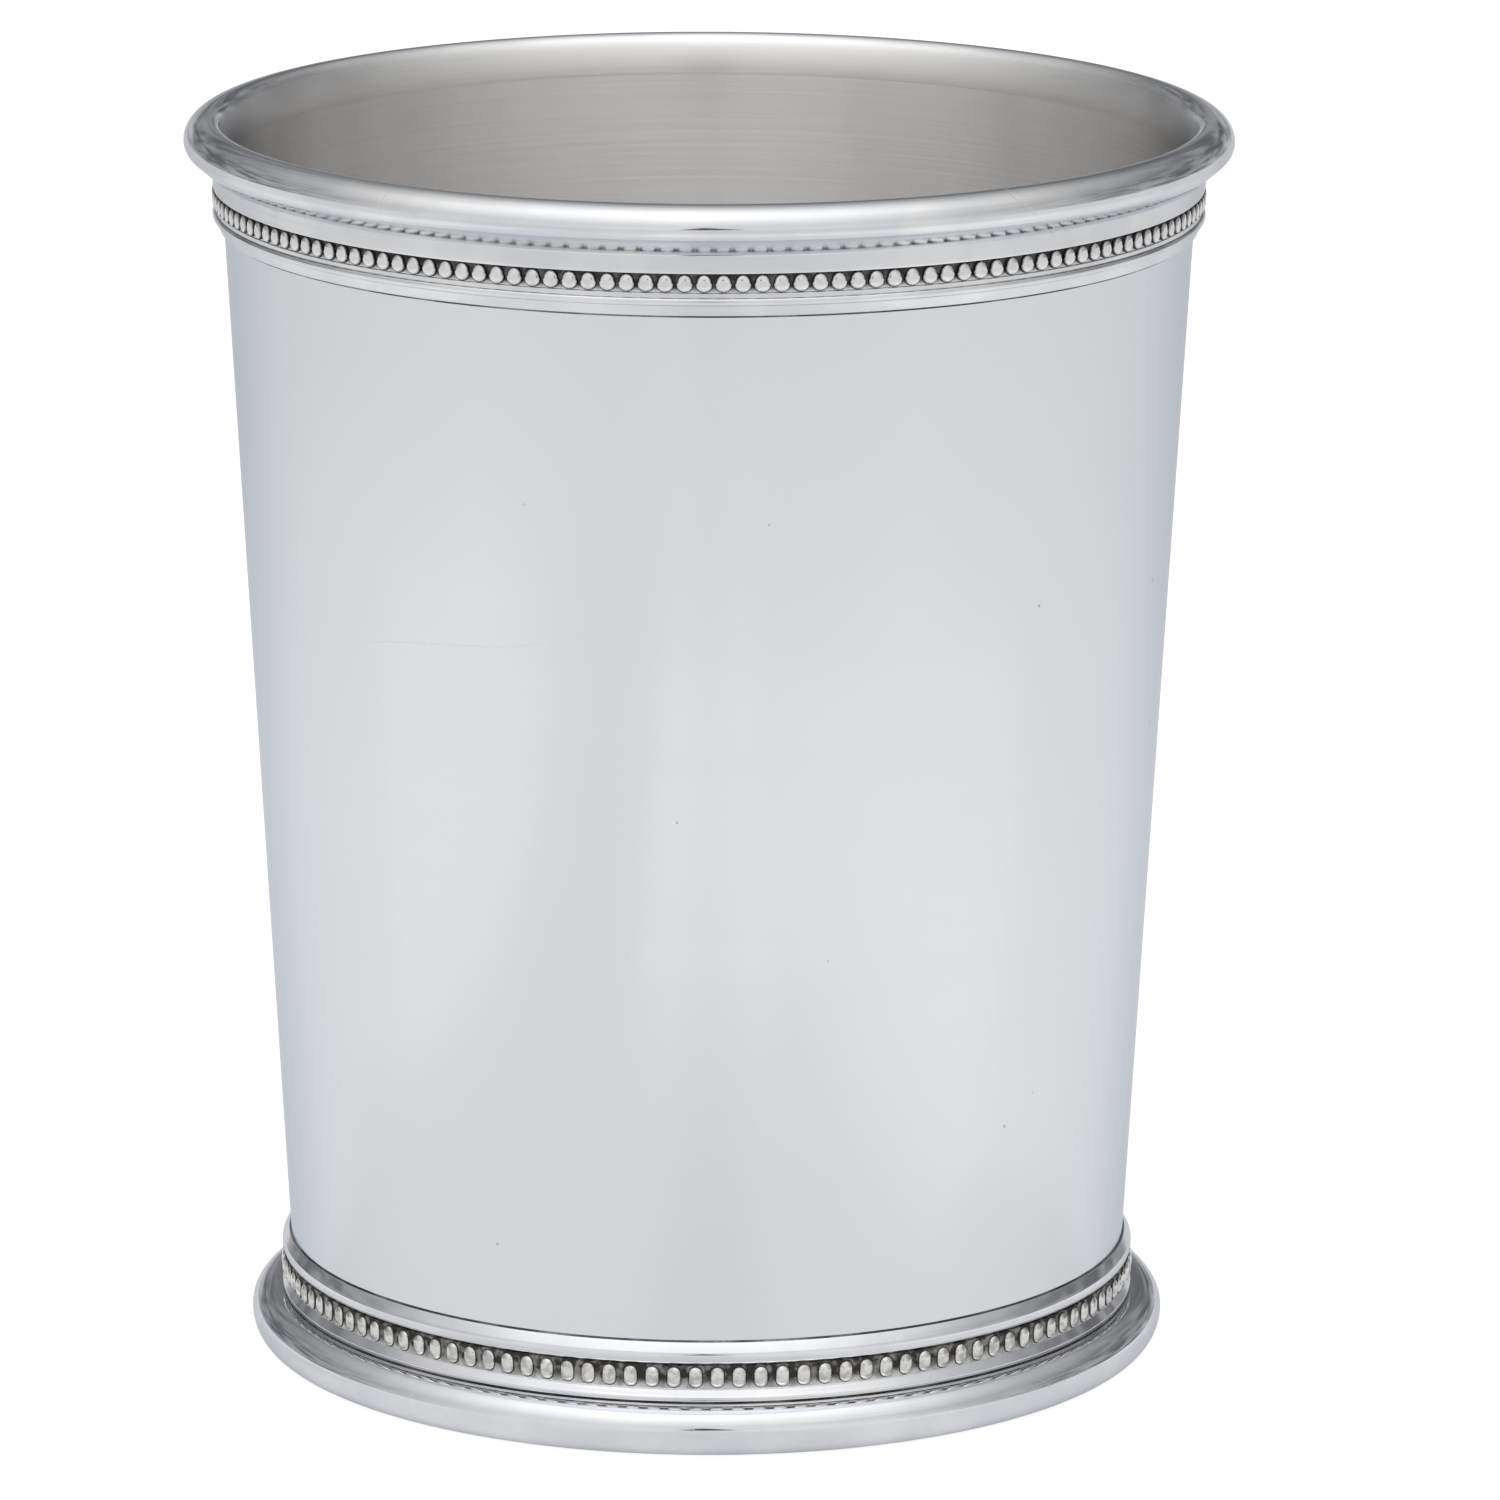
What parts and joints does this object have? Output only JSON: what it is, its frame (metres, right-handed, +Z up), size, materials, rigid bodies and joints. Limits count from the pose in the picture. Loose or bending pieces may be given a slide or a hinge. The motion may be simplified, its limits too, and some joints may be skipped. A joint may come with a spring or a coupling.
{
  "type": "julep cup",
  "caption": "Tapered metal drinking cup with a rolled lip, a beaded rim band, a beaded foot band and a half-round foot ring, soldered up from separate pieces.",
  "frame": {"origin": "centre of the foot ring's resting face, on the table", "axes": "+Z up along the cup's axis, towards the mouth; X and Y are free, because the cup is round"},
  "size_m": [0.0847, 0.0846, 0.1016],
  "materials": {
    "satin_silver": "satin, finely brushed round the cup",
    "polished_silver": "polished, lightly worn",
    "oxidised_beading": "polished crowns with darkened grooves",
    "seam_solder": "dull and tarnished"
  },
  "bodies": {
    "root": {"body_wall": "satin_silver", "floor_disc": "satin_silver", "floor_solder": "seam_solder", "lip_ring": "polished_silver", "rim_band": "polished_silver", "rim_beads": "oxidised_beading", "rim_solder": "seam_solder", "foot_band": "polished_silver", "foot_beads": "oxidised_beading", "foot_solder": "seam_solder", "foot_ring": "polished_silver", "base_solder": "seam_solder"}
  },
  "joints": []
}
